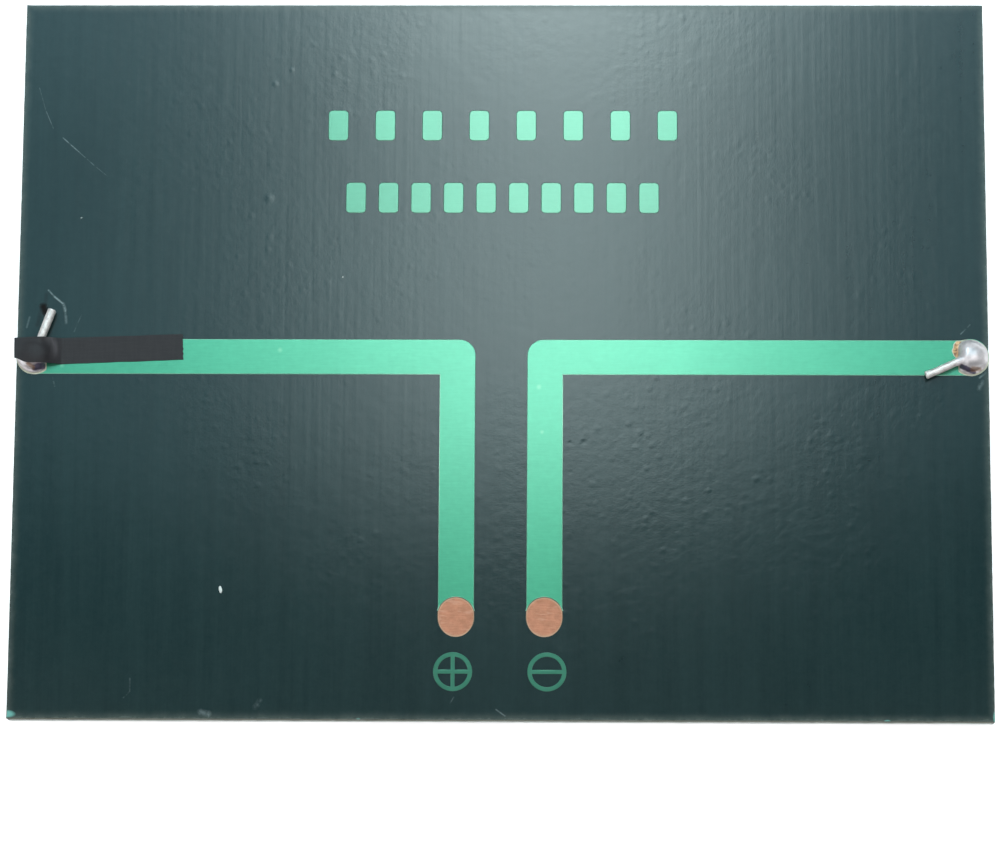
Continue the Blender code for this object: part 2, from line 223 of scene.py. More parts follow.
class Graph:
    """A material's node tree, with one method that makes any node."""

    def __init__(self, name):
        self.material = bpy.data.materials.new(name)
        self.material.use_nodes = True
        self.tree = self.material.node_tree
        self.shader = self.tree.nodes["Principled BSDF"]
        place = self.node("ShaderNodeTexCoord", output="Object")
        self.place = self.vector("SCALE", place, Scale=1.0 / MM)
        apart = self.node("ShaderNodeSeparateXYZ", inputs={0: self.place}).socket.node
        self.x, self.y, self.z = (Socket(self, output) for output in apart.outputs)

    def fill(self, socket, value):
        if isinstance(value, Socket):
            self.tree.links.new(value.socket, socket)
        elif socket.type == "RGBA":
            socket.default_value = (*value, 1.0)
        else:
            socket.default_value = value

    def node(self, kind, settings=None, inputs=None, output=0):
        return Socket(self, add_node(self.tree, kind, settings, inputs, self.fill).outputs[output])

    def vector(self, operation, *terms, **named):
        inputs = {**dict(enumerate(terms)), **named}
        return self.node("ShaderNodeVectorMath", {"operation": operation}, inputs)

    def mix(self, share, first, second):
        """One colour where share is 0, the other where it is 1."""
        return self.node(
            "ShaderNodeMix", {"data_type": "RGBA"}, {0: share, 6: first, 7: second}, output=2
        )

    def stretched(self, x, y, z):
        """The place in millimetres, multiplied along each axis."""
        return self.vector("MULTIPLY", self.place, (x, y, z))

    def noise(self, scale, detail=2.0, roughness=0.5, place=None):
        inputs = {"Vector": place or self.place, "Scale": scale, "Detail": detail, "Roughness": roughness}
        return self.node("ShaderNodeTexNoise", inputs=inputs)

    def drawn_noise(self, x, y, z, detail=2.0, roughness=0.5):
        """Noise with its own scale along each axis."""
        return self.noise(1.0, detail, roughness, self.stretched(x, y, z))

    def cells(self, scale, output="Distance", place=None):
        inputs = {"Vector": place or self.place, "Scale": scale}
        return self.node("ShaderNodeTexVoronoi", inputs=inputs, output=output)

    def ramp(self, value, stops):
        """A colour read off a ramp, whose stops are a position and a colour."""
        made = add_node(self.tree, "ShaderNodeValToRGB", None, {0: value}, self.fill)
        elements = made.color_ramp.elements
        while len(elements) < len(stops):
            elements.new(1.0)
        for element, (position, colour) in zip(elements, stops):
            element.position = position
            element.color = (*colour, 1.0)
        return Socket(self, made.outputs[0])

    def distance(self, x, y):
        """Distance in the board's plane from a point."""
        return flat_length(self.x - x, self.y - y)

    def oval_distance(self, x, y, reach_x, reach_y):
        """The same, measured in the reach each way, so that it is 1 on an oval round the point."""
        return flat_length((self.x - x) / reach_x, (self.y - y) / reach_y)

    def stroke(self, start, end, width):
        """1 on a straight scratch between two points of the board, falling to 0 at its width."""
        run = Vector(end) - Vector(start)
        along = ((self.x - start[0]) * (run.x / run.length_squared)
                 + (self.y - start[1]) * (run.y / run.length_squared))
        along = along.most(0.0).least(1.0)
        return 1.0 - self.distance(along * run.x + start[0], along * run.y + start[1]).between(0.0, width)

    def finish(self, colour, roughness, height=None, depth=1.0, **sockets):
        """Fills the shader. The height is a bump, in multiples of the depth in millimetres."""
        sockets.update(Base_Color=colour, Roughness=roughness)
        if height is not None:
            bump = {"Height": height, "Distance": depth * MM, "Strength": 1.0}
            sockets["Normal"] = self.node("ShaderNodeBump", inputs=bump)
        for name, value in sockets.items():
            self.fill(self.shader.inputs[name.replace("_", " ")], value)
        return self.material


def flat_length(x, y):
    return (x * x + y * y).root()


def strongest(shares):
    """The highest of several values at each place."""
    whole = shares[0]
    for share in shares[1:]:
        whole = whole.most(share)
    return whole


# ---------------------------------------------------------------- materials


def lacquer_relief(graph, lively):
    """Height of the lacquer's surface in millimetres: orange peel, streaks, ripples, grain and pimples."""
    peel = graph.noise(0.5, detail=1.0)
    ripple = graph.noise(1.25, detail=2.0)
    streak = graph.drawn_noise(1.3, 0.035, 1.0, detail=2.0)
    grain = graph.noise(4.6, detail=2.0)
    spots = graph.cells(0.62)
    pimples = (1.0 - spots.between(0.0, 0.34)).eased()
    return (
        peel * 0.007 + streak * 0.006
        + lively * (ripple * 0.0050 + grain * 0.0016 + pimples * 0.0030)
    )


def lacquer_over_board():
    graph = Graph("lacquer_over_board")
    lively = 0.55 + graph.noise(0.07, detail=2.0).between(0.42, 0.62)
    cloud = graph.noise(0.05, detail=3.0, roughness=0.55)
    band = graph.drawn_noise(0.55, 0.022, 1.0, detail=4.0, roughness=0.65)
    streak = graph.drawn_noise(3.2, 0.09, 1.0, detail=3.0, roughness=0.7)
    mottle = graph.noise(1.1, detail=4.0, roughness=0.7)
    grain = graph.noise(3.6, detail=2.0)
    tone = cloud * 0.26 + band * 0.30 + streak * 0.14 + mottle * 0.2 + grain * 0.10 - graph.x * 0.0008
    colour = graph.mix(tone.between(0.30, 0.70), (0.0022, 0.0155, 0.0163), (0.0118, 0.0322, 0.0328))
    # The saw has left the film paler and greyer close to the edge.
    from_side = (BOARD_HIGH.x - abs(graph.x)).least(BOARD_HIGH.y - abs(graph.y))
    wander = graph.noise(0.8, detail=3.0, roughness=0.65)
    rim = (1.0 - (from_side + (wander - 0.5) * 0.7).between(0.0, 1.15)) ** 2.0
    colour = graph.mix(rim * 0.9, colour, (0.060, 0.078, 0.066))
    # Where the film has lifted at the sawn edge it turns light turquoise.
    lifted = strongest([1.0 - graph.oval_distance(*flake).between(0.25, 1.0) for flake in FLAKES])
    lifted = (lifted + (wander - 0.5) * 0.5).between(0.12, 0.70) * (lifted * 6.0).least(1.0)
    colour = graph.mix(lifted * 0.85, colour, (0.16, 0.44, 0.38))
    # Old scratches, and the scorched patch beside the wire.
    scratches = strongest([graph.stroke(*scratch) * white for *scratch, white in SCRATCHES])
    scratches = scratches * graph.noise(1.5, detail=3.0, roughness=0.7).between(0.36, 0.56)
    colour = graph.mix(scratches, colour, (0.26, 0.32, 0.32))
    burns = []
    for *place, black in SCORCHES:
        stroke = graph.stroke(*place)
        uneven = (stroke + (mottle - 0.5) * 0.5).between(0.10, 0.75)
        burns.append(uneven * (stroke * 5.0).least(1.0) * black)
    scorch = strongest(burns)
    colour = graph.mix(scorch * 0.92, colour, (0.012, 0.007, 0.006))
    roughness = 0.145 + mottle * 0.05 + rim * 0.14 + scratches * 0.25 + scorch * 0.1
    height = lacquer_relief(graph, lively)
    for x, y, reach, rise in BLISTERS:
        height = height + (1.0 - graph.distance(x, y).between(0.0, reach)).eased() * rise
    return graph.finish(colour, roughness, height, Metallic=scorch * 0.9, IOR=1.5)


def lacquer_over_copper(name, dark, light, edge_highlight_share):
    """Mint green, where the lacquer lets the brushed copper under it shine through."""
    graph = Graph(name)
    cloud = graph.noise(0.08, detail=3.0)
    brush = graph.drawn_noise(0.45, 5.5, 1.0, detail=4.0, roughness=0.7)
    mottle = graph.noise(1.3, detail=3.0, roughness=0.6)
    tone = cloud * 0.35 + brush * 0.35 + mottle * 0.3
    colour = graph.mix(tone.between(0.34, 0.66), dark, light)
    for x, y, reach in PALE_SPOTS:
        spot = 1.0 - (graph.distance(x, y) + (mottle - 0.5) * 0.3).between(0.0, reach)
        colour = graph.mix(spot.eased() * 0.5, colour, (0.20, 0.44, 0.28))
    # Painted highlight: the sides and rounded edges of the raised film, flagged raised_edge, are painted
    # paler mint.
    edge = graph.node("ShaderNodeAttribute", {"attribute_name": "raised_edge"}, output="Fac")
    colour = graph.mix(edge * edge_highlight_share, colour, (0.30, 0.56, 0.42))
    roughness = 0.27 + mottle * 0.06
    height = (lacquer_relief(graph, 0.35) + brush * 0.002) * (1.0 - edge * 0.8)
    return graph.finish(
        colour, roughness, height, Metallic=0.74, IOR=1.5, Coat_Weight=1.0, Coat_Roughness=0.16
    )


def bare_copper():
    """Brushed copper, a little stained, with a pale lip where the lacquer stops round each pad."""
    graph = Graph("brushed_bare_copper")
    brush = graph.drawn_noise(0.8, 7.0, 1.0, detail=4.0, roughness=0.75)
    stain = graph.noise(1.1, detail=4.0, roughness=0.65)
    colour = graph.mix(stain.between(0.36, 0.64), (0.375, 0.146, 0.080), (0.500, 0.205, 0.118))
    colour = graph.mix(brush.between(0.42, 0.72) * 0.5, colour, (0.60, 0.285, 0.175))
    rub = graph.drawn_noise(0.5, 1.6, 1.0, detail=2.0).between(0.56, 0.64)
    colour = graph.mix(rub * 0.3, colour, (0.62, 0.36, 0.25))
    centres = [pad_centre(name) for name in SIDES]
    apart = [graph.oval_distance(*centre.to_2d(), PAD_WINDOW_X, PAD_WINDOW_Y) for centre in centres]
    lip = apart[0].least(apart[1]).between(0.90, 0.955)
    colour = graph.mix(lip * 0.55, colour, (0.50, 0.36, 0.24))
    height = brush * 0.007 + stain * 0.003 + lip * 0.01
    return graph.finish(colour, 0.50 + stain * 0.12, height, Metallic=0.45)


def board_laminate():
    """Sawn glass-fibre laminate: pale olive, in plies, with torn fibres."""
    graph = Graph("sawn_glass_laminate")
    plies = (graph.z * (2.0 * math.pi / 0.2)).maths("SINE") * 0.5 + 0.5
    fibres = graph.drawn_noise(5.0, 5.0, 1.2, detail=4.0, roughness=0.7)
    stain = graph.noise(0.25, detail=3.0)
    tone = plies * 0.3 + fibres * 0.5 + stain * 0.2
    colour = graph.mix(tone.between(0.25, 0.75), (0.040, 0.048, 0.030), (0.115, 0.125, 0.085))
    return graph.finish(colour, 0.62 + fibres * 0.2, fibres * 0.7 + plies * 0.3, depth=0.05)


def cast_epoxy():
    """Clear casting resin, glossy on its face and frosted by the saw on its edges."""
    graph = Graph("clear_cast_epoxy")
    from_side = (EPOXY_HIGH.x - abs(graph.x)).least(EPOXY_HIGH.y - abs(graph.y))
    sawn = 1.0 - from_side.between(0.05, 0.3)
    marks = graph.drawn_noise(4.0, 4.0, 0.6, detail=3.0, roughness=0.7)
    haze = graph.noise(0.12, detail=2.0)
    colour = graph.mix(haze.between(0.3, 0.7), (0.80, 0.88, 0.86), (0.88, 0.92, 0.90))
    roughness = 0.05 + sawn * (0.35 + marks * 0.25)
    height = marks * sawn + haze * 0.15
    return graph.finish(colour, roughness, height, depth=0.03, IOR=1.53, Transmission_Weight=0.85)


def silicon():
    """Blue silicon, cast in crystals of slightly different shades."""
    graph = Graph("cast_blue_silicon")
    crystal = graph.cells(0.22, output="Color", place=graph.stretched(1.0, 0.8, 0.0))
    shade = graph.node("ShaderNodeSeparateColor", inputs={0: crystal})
    fine = graph.noise(1.4, detail=3.0)
    tone = shade * 0.8 + fine * 0.2
    shades = ((0.0, (0.006, 0.012, 0.06)), (0.5, (0.012, 0.03, 0.14)), (1.0, (0.03, 0.07, 0.24)))
    colour = graph.ramp(tone, shades)
    return graph.finish(colour, 0.22 + shade * 0.12, fine, depth=0.004, Metallic=0.3)


def bonding_sheet():
    graph = Graph("white_bonding_sheet")
    weave = graph.noise(2.2, detail=3.0)
    colour = graph.mix(weave.between(0.3, 0.7), (0.66, 0.67, 0.64), (0.76, 0.77, 0.75))
    return graph.finish(colour, 0.55 + weave * 0.1, weave, depth=0.01)


def tinned_ribbon():
    graph = Graph("tinned_ribbon")
    drag = graph.drawn_noise(0.4, 6.0, 1.0, detail=3.0)
    colour = graph.mix(drag.between(0.3, 0.7), (0.52, 0.53, 0.55), (0.72, 0.72, 0.73))
    return graph.finish(colour, 0.28 + drag * 0.18, drag, depth=0.006, Metallic=1.0)


def finger_silver():
    graph = Graph("printed_silver_fingers")
    grain = graph.noise(6.0, detail=2.0)
    colour = graph.mix(grain, (0.5, 0.51, 0.53), (0.72, 0.73, 0.75))
    return graph.finish(colour, 0.42 + grain * 0.1, Metallic=0.8)


def joint_strokes(graph, strokes, uneven):
    """Strokes placed from the middle of each joint, with their edges made uneven."""
    placed = []
    for name, start, end, width in strokes:
        middle = terminal(name).to_2d()
        placed.append(graph.stroke(middle + Vector(start), middle + Vector(end), width))
    whole = strongest(placed)
    return whole + (uneven - 0.5) * 0.7 * (whole * 5.0).least(1.0)


def solder_metal():
    """Frosted solder, with a painted navy reflection and painted shade along its near side, and brown flux
    and painted shadow beside them.
    """
    graph = Graph("frosted_solder")
    cloud = graph.noise(0.9, detail=3.0, roughness=0.6)
    grain = graph.noise(6.0, detail=3.0, roughness=0.6)
    colour = graph.mix(cloud.between(0.35, 0.65), (0.60, 0.535, 0.54), (0.84, 0.76, 0.765))
    # Painted shade: a soft dark grey over the near, lower side of each joint.
    painted_shade = joint_strokes(graph, PAINTED_SHADE_STROKES, cloud).between(0.1, 0.9)
    colour = graph.mix(painted_shade * 0.62, colour, (0.25, 0.225, 0.23))
    # Painted reflection: navy strokes low on each joint stand in for something dark blue mirrored in the
    # solder, which is less metallic and glossier there.
    blotches = graph.noise(1.5, detail=3.0, roughness=0.6)
    navy_reflection = joint_strokes(graph, NAVY_REFLECTION_STROKES, blotches).between(0.24, 0.58)
    navy = graph.mix(blotches.between(0.4, 0.6), (0.016, 0.014, 0.052), (0.052, 0.035, 0.080))
    colour = graph.mix(navy_reflection * 0.93, colour, navy)
    # Brown: flux on the negative joint, and painted shadow just below the tape's edge on the positive
    # joint.
    brown = joint_strokes(graph, BROWN_FLUX_AND_SHADOW, blotches).between(0.20, 0.70)
    colour = graph.mix(brown * 0.75, colour, (0.24, 0.125, 0.065))
    roughness = 0.29 + cloud * 0.14 + grain * 0.06 - navy_reflection * 0.08
    height = cloud * 0.05 + grain * 0.006
    return graph.finish(colour, roughness, height, Metallic=0.45 - navy_reflection * 0.30)


def tinned_wire():
    graph = Graph("tinned_wire_end")
    smear = graph.noise(1.8, detail=4.0, roughness=0.65)
    grain = graph.noise(8.0, detail=2.0)
    colour = graph.mix(smear.between(0.34, 0.66), (0.56, 0.51, 0.49), (0.84, 0.78, 0.74))
    return graph.finish(colour, 0.40 + smear * 0.16, smear * 0.022 + grain * 0.004, Metallic=0.55)


def flux_resin():
    """Flux left round a joint: cream where it is thin, amber with charred spots where it pooled."""
    graph = Graph("amber_flux_resin")
    pooled = graph.node("ShaderNodeAttribute", {"attribute_name": "pooled"}, output="Fac")
    blotches = graph.noise(2.1, detail=4.0, roughness=0.65)
    shades = ((0.36, (0.060, 0.030, 0.012)), (0.46, (0.46, 0.21, 0.075)), (0.64, (0.78, 0.50, 0.27)))
    amber = graph.ramp(blotches, shades)
    cream = graph.mix(blotches, (0.44, 0.45, 0.32), (0.70, 0.68, 0.55))
    colour = graph.mix((pooled + (blotches - 0.5) * 0.6).between(0.25, 0.55), cream, amber)
    return graph.finish(colour, 0.18 + blotches * 0.25, blotches * 0.05)


def vinyl_tape():
    """Matt black vinyl, faintly lined along its length, with a painted highlight where it slopes down off
    the joint.
    """
    graph = Graph("black_vinyl_tape")
    lines = graph.drawn_noise(0.35, 5.0, 1.0, detail=3.0, roughness=0.6)
    cross = graph.drawn_noise(2.2, 0.3, 1.0, detail=2.0)
    fine = graph.noise(8.0, detail=2.0)
    tone = lines * 0.4 + cross * 0.35 + fine * 0.25
    colour = graph.mix(tone.between(0.34, 0.66), (0.0135, 0.0115, 0.0130), (0.0260, 0.0225, 0.0245))
    # Painted highlight: a paler band on the upper half of the tape, where it slopes down from the joint
    # towards the middle of the board.
    centre = terminal("positive")
    from_joint = graph.distance(centre.x, centre.y + 0.3) + (cross - 0.5) * 0.8
    pale = 1.0 - abs(from_joint - 2.35).between(0.0, 0.62)
    pale = pale * (graph.x - centre.x).between(0.4, 1.9) * (graph.y - centre.y).between(-0.6, 0.5)
    colour = graph.mix(pale * 0.55, colour, (0.105, 0.092, 0.098))
    height = lines * 0.006 + cross * 0.012 + fine * 0.003
    return graph.finish(colour, 0.52 + tone * 0.14, height, Specular_IOR_Level=0.32)


def dust_white():
    graph = Graph("pale_dust")
    speck = graph.noise(5.0, detail=2.0)
    colour = graph.mix(speck, (0.62, 0.64, 0.60), (0.82, 0.84, 0.80))
    return graph.finish(colour, 0.7 + speck * 0.1)


def floor_paint():
    graph = Graph("pale_floor")
    tooth = graph.noise(0.02, detail=4.0)
    colour = graph.mix(tooth, (0.94, 0.94, 0.94), (0.96, 0.96, 0.96))
    white = (1.0, 1.0, 1.0)
    return graph.finish(colour, 0.75 + tooth * 0.1, Emission_Color=white, Emission_Strength=FLOOR_GLOW)


# Scratches on the board: start, end, width and how white.
SCRATCHES = (
    ((-52.5, 7.7), (-51.75, 6.9), 0.13, 0.55),
    ((-51.75, 6.9), (-50.75, 6.1), 0.16, 0.75),
    ((-50.75, 6.1), (-50.45, 5.2), 0.24, 0.50),
    ((-50.45, 5.2), (-50.35, 3.8), 0.22, 0.32),
    ((-54.9, 3.3), (-54.6, 4.5), 0.16, 0.22),
    ((-49.4, 2.8), (-48.6, 4.8), 0.10, 0.16),
    ((-51.7, -2.6), (-51.5, -3.6), 0.14, 0.22),
    ((52.8, 2.7), (53.9, 3.8), 0.10, 0.35),
    ((55.6, -1.8), (54.9, -2.4), 0.16, 0.40),
    ((55.2, -2.9), (54.8, -3.7), 0.34, 0.30),
    ((-54.2, 31.9), (-53.4, 29.2), 0.07, 0.18),
    ((-53.4, 29.2), (-52.4, 26.9), 0.07, 0.30),
    ((-51.3, 25.9), (-49.4, 24.2), 0.09, 0.50),
    ((-49.4, 24.2), (-47.6, 22.6), 0.07, 0.32),
    ((-47.6, 22.6), (-46.0, 21.3), 0.06, 0.18),
    ((-0.4, -40.8), (0.6, -41.5), 0.12, 0.40),
    ((-5.6, -40.1), (-5.2, -39.4), 0.10, 0.22),
    ((-33.9, -41.2), (-33.0, -41.4), 0.45, 0.32),
    ((-27.7, -40.6), (-27.2, -39.9), 0.40, 0.18),
    ((-42.0, -37.4), (-42.0, -38.9), 0.10, 0.18),
    ((-42.0, -38.9), (-42.7, -39.6), 0.10, 0.14),
)

# Burnt lacquer beside the left wire: start, end, width and how black.
SCORCHES = (
    ((-52.80, 5.1), (-53.05, 5.75), 0.72, 1.0),
    ((-53.65, 3.6), (-53.3, 5.2), 0.40, 0.35),
    ((-52.80, 6.2), (-52.70, 7.2), 0.35, 0.25),
)

# Pale blemishes in the lacquer over the traces: x, y and reach.
PALE_SPOTS = (
    (4.33, -3.60, 0.42),
    (4.69, -8.86, 0.34),
    (-25.54, 0.68, 0.42),
    (-50.69, -1.14, 0.40),
)

# Swellings and dimples in the lacquer: x, y, reach and rise.
BLISTERS = (
    (-27.1, 18.7, 0.75, 0.014),
    (-26.6, 32.4, 0.50, 0.010),
    (-24.7, 34.1, 0.40, 0.008),
    (29.2, -14.2, 0.60, 0.007),
    (23.8, -15.6, 0.40, 0.005),
    (9.5, -10.0, 0.50, -0.007),
    (7.9, -10.1, 0.38, -0.005),
    (8.0, -13.5, 0.38, -0.004),
    (8.1, -15.0, 0.30, -0.003),
    (28.2, -0.2, 0.30, -0.004),
)

# Painted navy reflections in the joints: joint, start and end from its middle, and width.
NAVY_REFLECTION_STROKES = (
    ("positive", (0.10, -1.50), (1.10, -1.22), 0.56),
    ("negative", (-1.05, -1.12), (-0.30, -1.50), 0.34),
    ("negative", (-0.30, -1.50), (0.42, -1.76), 0.38),
)

# Brown beside the navy, in the same form: flux on the negative joint, and on the positive joint a painted
# shadow just below the edge of the tape.
BROWN_FLUX_AND_SHADOW = (
    ("positive", (-0.70, -1.10), (-0.10, -1.45), 0.36),
    ("negative", (0.20, -1.45), (1.05, -1.42), 0.40),
)

# Painted shade on the near side of the solder: joint, start and end from its middle, and width.
PAINTED_SHADE_STROKES = (
    ("positive", (-0.5, -1.0), (0.6, -1.0), 0.55),
    ("negative", (-0.1, -0.95), (1.55, -0.80), 0.55),
)

# Grains of dust: x, y, length and turn.
DUST = (
    (-31.9, -27.2, 0.42, 100.0),
    (-48.9, 16.3, 0.11, 20.0),
    (-18.4, 9.3, 0.10, 60.0),
)


# ---------------------------------------------------------------- mesh helpers


def put(name, data):
    """A new object in the scene."""
    obj = bpy.data.objects.new(name, data)
    bpy.context.scene.collection.objects.link(obj)
    return obj


def closed(name, shape):
    """The plain mesh of a bmesh, which is freed."""
    mesh = bpy.data.meshes.new(name)
    shape.to_mesh(mesh)
    shape.free()
    return mesh


def opened(mesh):
    """The bmesh of a plain mesh, which is removed."""
    shape = bmesh.new()
    shape.from_mesh(mesh)
    bpy.data.meshes.remove(mesh)
    return shape


def skin(shape, rings):
    """Walls from each ring of points to the next, and a cap on both ends."""
    for lower, upper in zip(rings, rings[1:]):
        for index in range(len(lower)):
            after = (index + 1) % len(lower)
            shape.faces.new((lower[index], lower[after], upper[after], upper[index]))
    shape.faces.new(list(reversed(rings[0])))
    shape.faces.new(rings[-1])


def shell(shape, tops, unders):
    """A thin sheet from its rows of upper and lower points, walled off at its edges.

    Where the last row is the first again, the sheet goes round and has no wall there.
    """
    rows = list(zip(tops, unders))
    steps = range(len(tops[0]) - 1)
    for (top, under), (next_top, next_under) in zip(rows, rows[1:]):
        for step in steps:
            shape.faces.new((top[step], top[step + 1], next_top[step + 1], next_top[step]))
            shape.faces.new((under[step], next_under[step], next_under[step + 1], under[step + 1]))
        for end in (0, -1):
            shape.faces.new((top[end], next_top[end], next_under[end], under[end]))
    if tops[0] is not tops[-1]:
        for top, under in (rows[0], rows[-1]):
            for step in steps:
                shape.faces.new((top[step], top[step + 1], under[step + 1], under[step]))


def keep_mesh(name, mesh, material, slot, replaces=(), smooth_angle=35.0, flat_faces=False):
    """Scales a mesh drawn in millimetres, and makes it a piece that rides on the panel."""
    mesh.transform(Matrix.Scale(MM, 4))
    mesh.materials.clear()
    mesh.materials.append(material)
    mesh.shade_smooth()
    mesh.set_sharp_from_angle(angle=math.radians(smooth_angle))
    if flat_faces:
        level = {key for face in mesh.polygons if abs(face.normal.z) > 0.9999 for key in face.edge_keys}
        sharp = mesh.attributes["sharp_edge"].data if "sharp_edge" in mesh.attributes else None
        sharp = sharp or mesh.attributes.new("sharp_edge", "BOOLEAN", "EDGE").data
        for edge in mesh.edges:
            if edge.key in level:
                sharp[edge.index].value = True
    piece = put(name, mesh)
    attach(piece, "root")
    if replaces:
        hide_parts(*replaces)
    return piece


def keep_shape(name, shape, *rest, **named):
    """The same, from a bmesh, with its doubles merged and its faces turned outwards."""
    bmesh.ops.remove_doubles(shape, verts=shape.verts, dist=1e-5)
    bmesh.ops.recalc_face_normals(shape, faces=shape.faces)
    return keep_mesh(name, closed(name, shape), *rest, **named)


def evaluated_mesh(obj):
    """The finished mesh of an object with its modifiers, and the object removed."""
    bpy.context.view_layer.update()
    graph = bpy.context.evaluated_depsgraph_get()
    mesh = bpy.data.meshes.new_from_object(obj.evaluated_get(graph))
    bpy.data.objects.remove(obj, do_unlink=True)
    return mesh


def arc(centre, radius, start, end, steps=ARC_STEPS):
    points = []
    for step in range(steps + 1):
        angle = math.radians(start + (end - start) * step / steps)
        points.append((centre[0] + radius * math.cos(angle), centre[1] + radius * math.sin(angle)))
    return points


def circle(centre, radius, steps=64):
    return arc(centre, radius, 0.0, 360.0, steps)[:-1]


def oval_arc(centre, reach_x, reach_y, start, end, steps=ARC_STEPS):
    points = arc((0.0, 0.0), 1.0, start, end, steps)
    return [(centre[0] + x * reach_x, centre[1] + y * reach_y) for x, y in points]


def film_shape(outlines, bottom, top, rounding):
    """A flat film with rounded upper and lower edges: the first outline is its edge, the rest holes."""
    curve = bpy.data.curves.new("film", "CURVE")
    curve.dimensions = "2D"
    curve.fill_mode = "BOTH"
    curve.bevel_depth = rounding
    curve.bevel_resolution = 2
    curve.offset = -rounding
    curve.extrude = (top - bottom) / 2 - rounding
    for number, outline in enumerate(outlines):
        if number:
            outline = outline[::-1]
        spline = curve.splines.new("POLY")
        spline.points.add(len(outline) - 1)
        for point, (x, y) in zip(spline.points, outline):
            point.co = (x, y, 0.0, 1.0)
        spline.use_cyclic_u = True
    mesh = evaluated_mesh(put("film", curve))
    bpy.data.curves.remove(curve)
    mesh.transform(Matrix.Translation((0.0, 0.0, (top + bottom) / 2)))
    shape = opened(mesh)
    # Faces that are not level are flagged raised_edge; the mint lacquer paints a highlight on them.
    raised = shape.faces.layers.float.new("raised_edge")
    for face in shape.faces:
        face[raised] = 0.0 if abs(face.normal.z) > 0.99 else 1.0
    return shape


def joined(shapes):
    """Several bmeshes in one."""
    whole = bmesh.new()
    for shape in shapes:
        part = closed("part", shape)
        whole.from_mesh(part)
        bpy.data.meshes.remove(part)
    return whole


def edge_walk(low, high, step):
    """Points round a rectangle, each with its inward direction."""
    corners = [(low.x, low.y), (high.x, low.y), (high.x, high.y), (low.x, high.y)]
    inwards = [(0, 1), (-1, 0), (0, -1), (1, 0)]
    walk = []
    for index, (inward, start) in enumerate(zip(inwards, corners)):
        end = corners[(index + 1) % 4]
        count = round(math.dist(start, end) / step)
        for number in range(count):
            share = number / count
            place = (start[0] + (end[0] - start[0]) * share, start[1] + (end[1] - start[1]) * share)
            walk.append((place, inward))
    return walk


# ---------------------------------------------------------------- board, lacquer and copper

# Places on the rim where the lacquer has lifted: x, y, and how far that reaches each way.
FLAKES = (
    (-56.0, -41.5, 1.30, 0.55),
    (-16.0, -42.0, 0.35, 0.20),
    (43.8, -42.0, 0.50, 0.25),
    (36.5, -42.1, 0.30, 0.20),
    (56.0, -41.5, 0.32, 0.95),
    (-56.1, 9.2, 0.20, 0.30),
    (38.0, 42.1, 0.30, 0.20),
)


def ragged_outline(low, high, step, depth, seed, flakes=()):
    """A rectangle whose edge wanders inwards by up to the given depth, and further at each flake."""
    points = []
    for (x, y), (in_x, in_y) in edge_walk(low, high, step):
        fine = noise.noise(Vector((x * 1.9, y * 1.9, seed))) * 0.5 + 0.5
        broad = noise.noise(Vector((x * 0.21, y * 0.21, seed + 7.0))) * 0.5 + 0.5
        inward = depth * (0.2 + 0.5 * fine + 0.5 * broad)
        for flake_x, flake_y, reach_x, reach_y in flakes:
            away = math.hypot((x - flake_x) / reach_x, (y - flake_y) / reach_y) / 1.5
            if away < 1.0:
                deep = 0.22 * min(reach_x, reach_y) * math.sqrt(1.0 - away * away)
                inward = max(inward, deep * (0.75 + 0.5 * fine))
        points.append((x + in_x * inward, y + in_y * inward))
    return points


def make_film(material):
    """The lacquer over the bare board, open at the pads and the soldered terminals."""
    windows = []
    for name in SIDES:
        windows.append(oval_arc(pad_centre(name), PAD_WINDOW_X, PAD_WINDOW_Y, 0.0, 360.0, 72)[:-1])
        windows.append(land_outline(name, LAND_GAP))
    outline = ragged_outline(FILM_LOW, FILM_HIGH, FILM_STEP, FILM_RAGGED, 3.0, FLAKES)
    shape = film_shape([outline] + windows, FILM_LOW.z, FILM_TOP, FILM_EDGE_ROUND)
    keep_shape(
        "lacquer_film", shape, material, "green_solder_mask", replaces=["solder_mask"], flat_faces=True
    )


def trace_outline(name, grow, open_at_pad):
    """The L from terminal to pad. A film stops at the pad's round window; copper runs to its end."""
    side = SIDES[name]
    half = trace_half_width(name) + grow
    bend = TRACE_CORNER + grow
    end = terminal(name)
    pad = pad_centre(name)
    end_x = abs(end.x)
    pad_x = abs(pad.x)
    points = arc((end_x, end.y), half, -90.0, 90.0, 28)
    points += arc((pad_x - half + bend, end.y + half - bend), bend, 90.0, 180.0)
    if open_at_pad:
        clear = math.degrees(math.acos(half / PAD_WINDOW_X))
        points += oval_arc((pad_x, pad.y), PAD_WINDOW_X, PAD_WINDOW_Y, 180.0 - clear, clear, 28)
    else:
        points += oval_arc((pad_x, pad.y), half, PAD_WINDOW_Y, 180.0, 360.0, 40)
    points.append((pad_x + half, end.y - half))
    return [(side * x, y) for x, y in points]


def film_over(outlines, rounding=OVER_COPPER_ROUND):
    """The raised film over a piece of copper."""
    return film_shape(outlines, FILM_TOP - OVER_COPPER_DEPTH, FILM_TOP + OVER_COPPER_RISE, rounding)


def over_copper(name, films, material):
    return keep_shape(name, joined(films), material, "green_solder_mask", flat_faces=True)


def land_outline(name, grow):
    """The bare land under a joint: round at the board's edge, and cut straight towards the trace."""
    side = SIDES[name]
    centre = terminal(name)
    radius = LAND_RADIUS + grow
    corner = math.degrees(math.acos(-(LAND_CUT + grow) / radius))
    points = arc((abs(centre.x) + 0.1, centre.y + 0.08), radius, -corner, corner, 40)
    return [(side * x, y) for x, y in points][::side]


